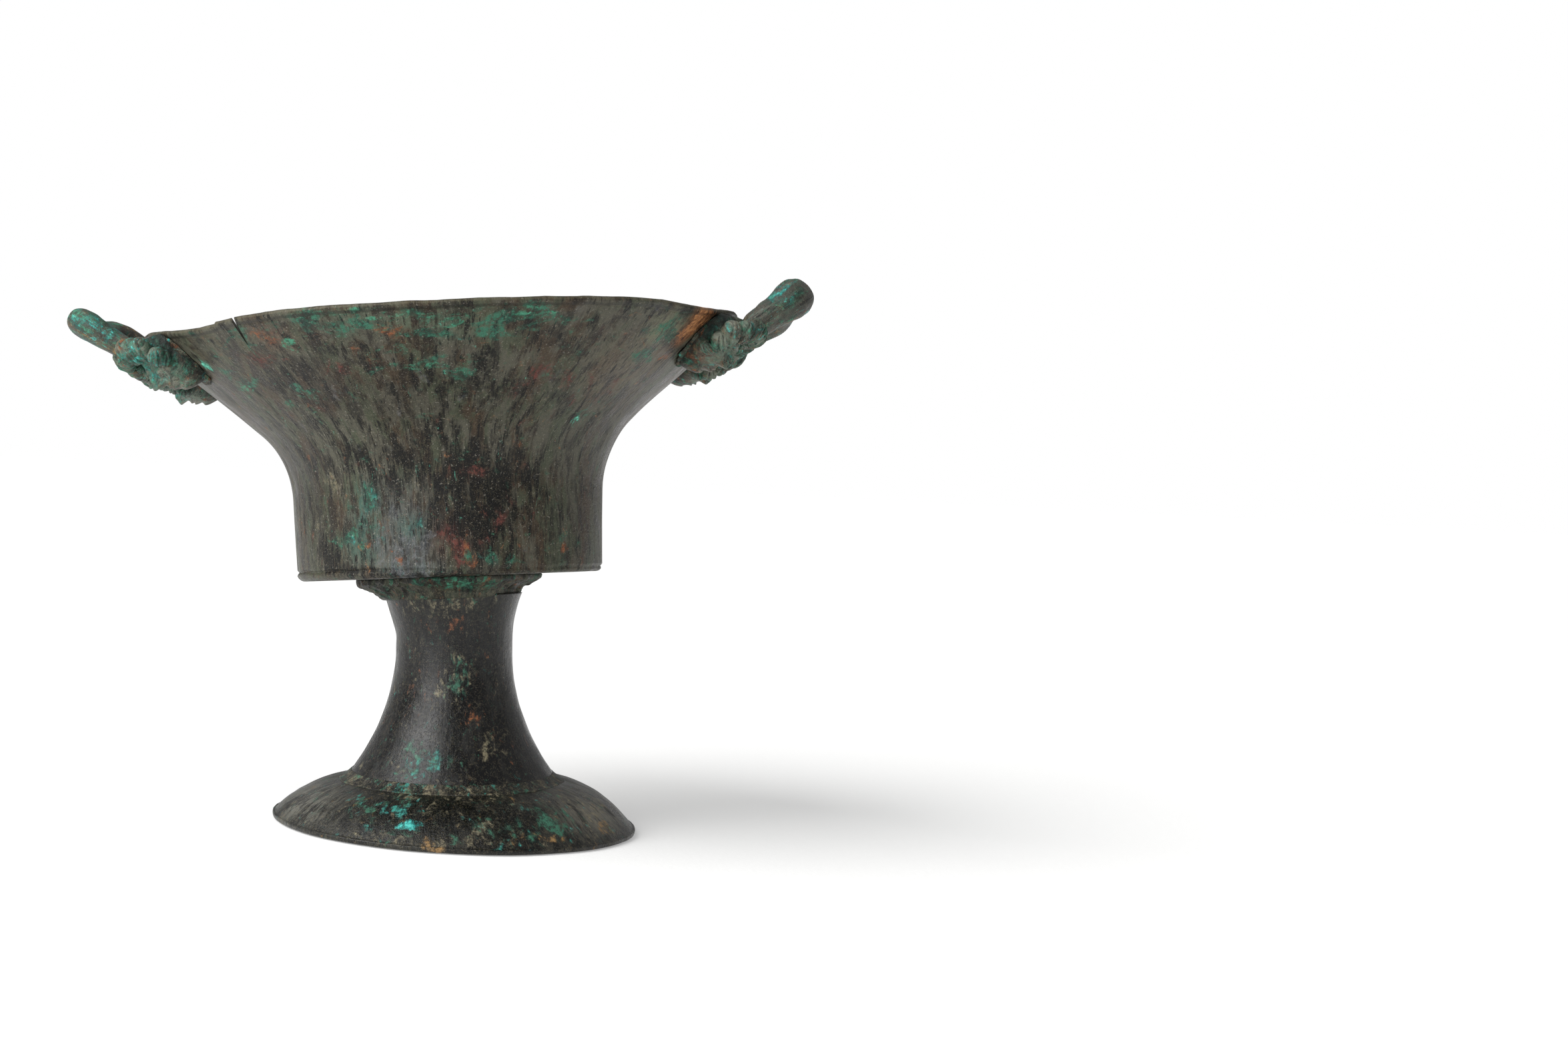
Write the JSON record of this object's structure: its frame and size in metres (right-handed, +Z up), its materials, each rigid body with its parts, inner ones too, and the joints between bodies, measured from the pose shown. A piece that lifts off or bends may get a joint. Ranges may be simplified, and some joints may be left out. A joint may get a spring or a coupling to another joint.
{
  "type": "goblet",
  "caption": "Two-handled bronze goblet with a wide flaring bowl, a hollow waisted stem, a domed foot and curly-haired mask heads that hold loop handles.",
  "frame": {"origin": "middle of the goblet's footprint box, on the table that the foot stands on", "axes": "+Z up from the table, +X through the two handles, +Y away from the viewer"},
  "size_m": [0.244, 0.1948, 0.184],
  "materials": {
    "foot_bronze": "aged, semi-matte with green and tan spots",
    "seam_solder": "pale and rough",
    "stem_bronze": "dark and softly shining",
    "collar_bronze": "rough green crust",
    "bowl_bronze": "aged, streaked and speckled",
    "rivet_bronze": "aged and worn",
    "handle_bronze": "worn with green spots",
    "mask_bronze": "green crust",
    "plate_bronze": "rough green crust"
  },
  "bodies": {
    "root": {"foot": "foot_bronze", "foot_seam": "seam_solder", "stem": "stem_bronze", "seat_collar": "collar_bronze", "bowl": "bowl_bronze", "bowl_rivet": "rivet_bronze", "left_handle": "handle_bronze", "left_front_mask": "mask_bronze", "left_front_plate": "plate_bronze", "left_rear_mask": "mask_bronze", "left_rear_plate": "plate_bronze", "right_handle": "handle_bronze", "right_front_mask": "mask_bronze", "right_front_plate": "plate_bronze", "right_rear_mask": "mask_bronze", "right_rear_plate": "plate_bronze"}
  },
  "joints": []
}
